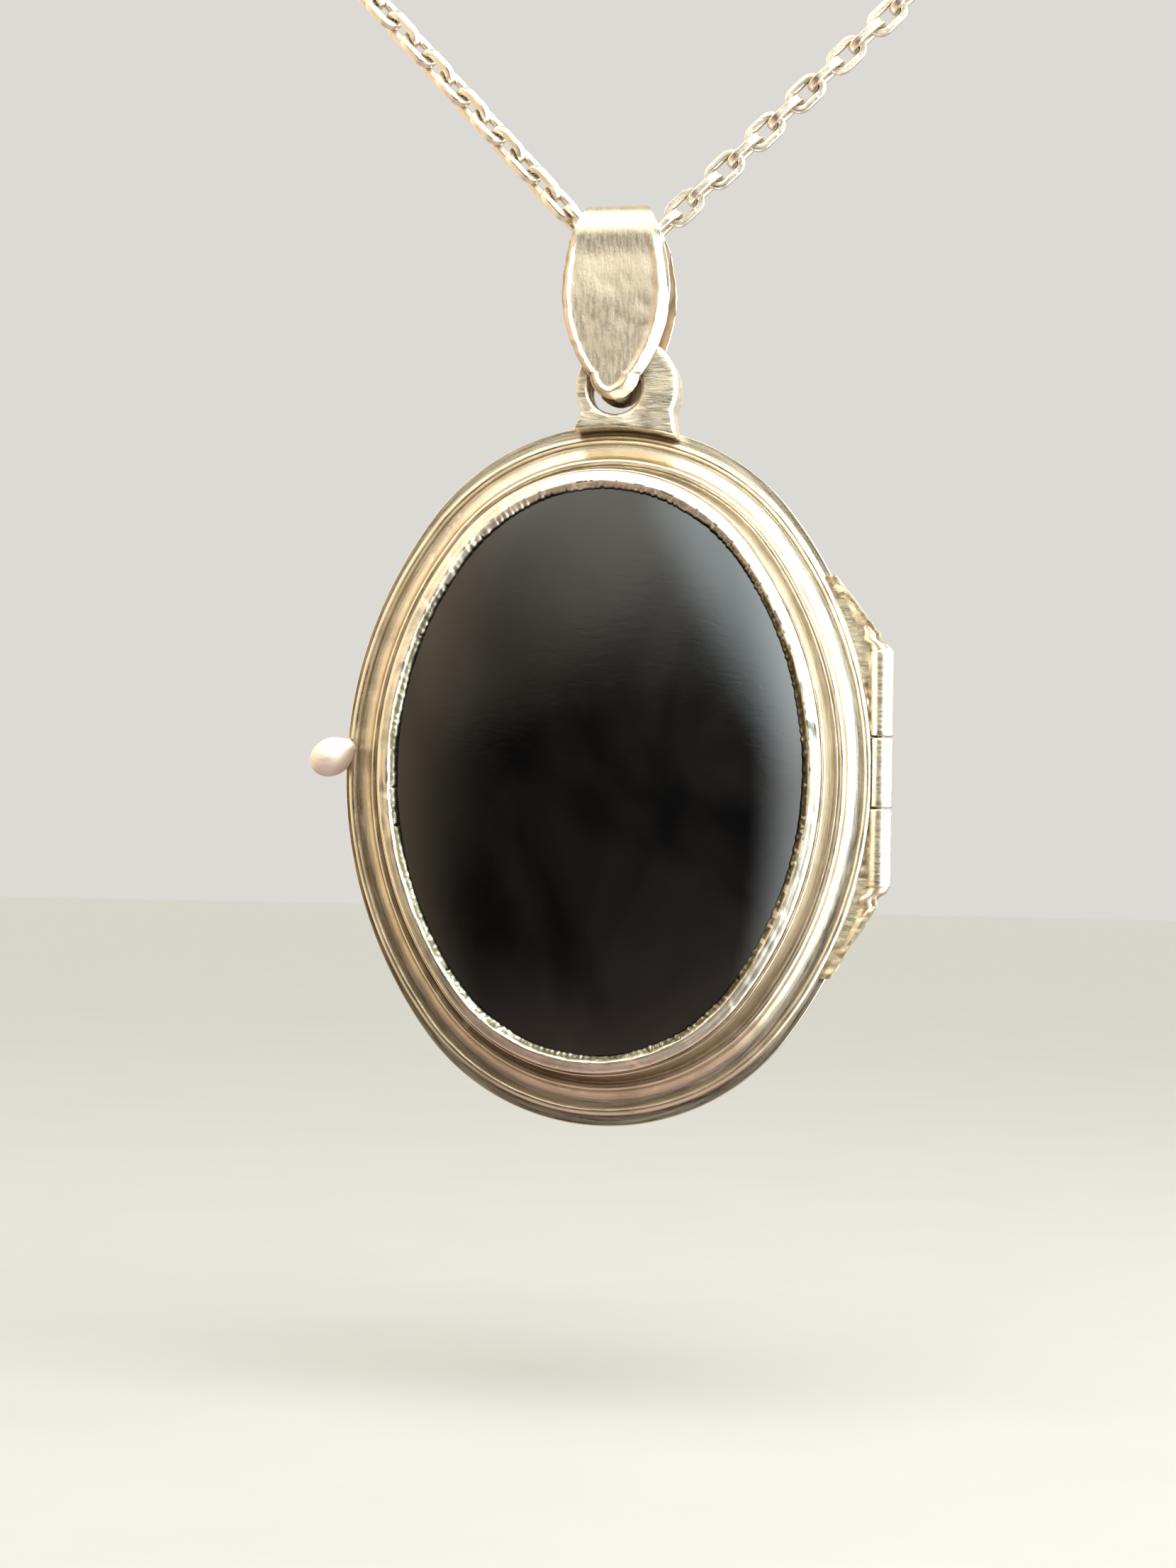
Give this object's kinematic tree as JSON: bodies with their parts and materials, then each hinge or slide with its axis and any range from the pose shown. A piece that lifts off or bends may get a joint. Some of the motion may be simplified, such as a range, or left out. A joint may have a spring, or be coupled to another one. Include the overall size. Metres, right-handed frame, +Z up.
{
  "type": "locket",
  "caption": "Hinged oval locket with a black domed cabochon in a stepped moulded lid, leaf bail, side hinge, thumb ball, photo seats in both halves, and trace chain with bolt ring",
  "frame": {"origin": "the point on the chain's plane, over the middle of the locket, at the height where the wearer's neck holds the two strands", "axes": "+Z up along the hanging locket, -Y the front with the stone, +X the hinge side seen from the front"},
  "size_m": [0.0396, 0.0079, 0.0686],
  "materials": {
    "silver": "satin",
    "chain_silver": "gloss",
    "pin_silver": "satin",
    "spring_steel": "satin",
    "black_stone": "polished",
    "window_glass": "gloss",
    "photo_card": "matte",
    "gilt": "satin"
  },
  "bodies": {
    "necklace": {"chain_left": "chain_silver", "chain_centre": "chain_silver", "chain_right": "chain_silver", "jump_rings": "chain_silver", "clasp_ring": "chain_silver", "clasp_spring": "spring_steel"},
    "clasp_bolt": {"clasp_trigger": "chain_silver"},
    "bail": {"bail": "silver"},
    "case": {"back_cover": "silver", "back_snap_rim": "silver", "back_hinge_bearer": "silver", "hinge_knuckle_middle": "silver", "hinge_pin": "pin_silver", "lug_back_plate": "silver", "lug_front_plate": "silver", "back_photo_frame": "gilt", "back_window": "window_glass", "back_photo_card": "photo_card"},
    "lid": {"lid_moulding": "silver", "lid_base_plate": "silver", "bezel": "silver", "cabochon": "black_stone", "lid_hinge_bearer": "silver", "hinge_knuckle_top": "silver", "hinge_knuckle_bottom": "silver", "thumb_ball": "silver", "lid_photo_frame": "gilt", "lid_window": "window_glass", "lid_photo_card": "photo_card"}
  },
  "joints": [
    {"name": "bail_swing", "type": "hinge", "parent": "necklace", "child": "bail", "pos_m": [0.00025, 0, -0.0148], "axis": [1, 0, 0], "range_deg": [-45, 45]},
    {"name": "case_sway", "type": "hinge", "parent": "bail", "child": "case", "pos_m": [0.00025, 0, -0.02198], "axis": [0, 1, 0], "range_deg": [-20, 20]},
    {"name": "lid_open", "type": "hinge", "parent": "case", "child": "lid", "pos_m": [0.01428, 0.00085, -0.043], "axis": [0, 0, 1], "range_deg": [0, 175]},
    {"name": "clasp_slide", "type": "hinge", "parent": "necklace", "child": "clasp_bolt", "pos_m": [-0.01818, 0, 0.00364], "axis": [0, 1, 0], "range_deg": [0, 66], "stiffness_Nm_per_rad": 0.002, "springref_deg": -22.92, "deforming": ["clasp_spring"]}
  ]
}
